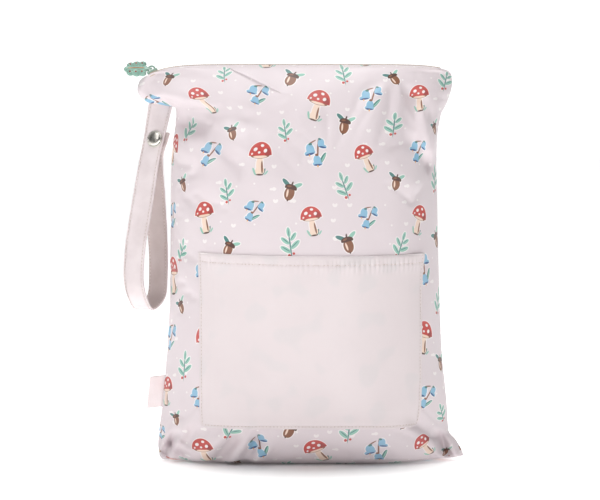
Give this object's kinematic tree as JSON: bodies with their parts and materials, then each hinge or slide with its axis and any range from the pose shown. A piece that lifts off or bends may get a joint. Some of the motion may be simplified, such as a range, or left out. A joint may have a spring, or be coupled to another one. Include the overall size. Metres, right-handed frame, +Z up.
{
  "type": "waterproof zip bag",
  "caption": "Soft waterproof cloth bag, packed full and standing, with a zip along the top, a patch pocket in front and a snapped wrist strap.",
  "frame": {"origin": "middle of the flattened base, on the surface that the bag stands on", "axes": "+Z up towards the zip, -Y out of the front with the pocket, +X to the right as the front is seen"},
  "size_m": [0.2554, 0.1095, 0.2988],
  "materials": {
    "printed_cloth": "soft coated polyester, satin, with a small print",
    "plain_cloth": "soft coated polyester, satin, plain",
    "strap_cloth": "folded coated polyester, edge stitched",
    "zip_tape": "woven tape, matte",
    "zip_coil": "nylon coil, satin",
    "zip_slider": "mint lacquer, satin",
    "pull_rubber": "mint moulded rubber, matte",
    "snap_metal": "polished nickel",
    "label_cloth": "woven ribbon, bare"
  },
  "bodies": {
    "bag": {"front_panel": "printed_cloth", "back_panel": "printed_cloth", "pocket": "plain_cloth", "zip_tape_front": "zip_tape", "zip_tape_back": "zip_tape", "zip_coil": "zip_coil", "zip_slider": "zip_slider", "strap": "strap_cloth", "snap_cap": "snap_metal", "snap_stud": "snap_metal", "label": "label_cloth"},
    "pull": {"zip_pull": "pull_rubber"}
  },
  "joints": [
    {"name": "pull_flip", "type": "hinge", "parent": "bag", "child": "pull", "pos_m": [-0.1134, 0, 0.29358], "axis": [0, 1, 0], "range_deg": [0, 138]}
  ]
}
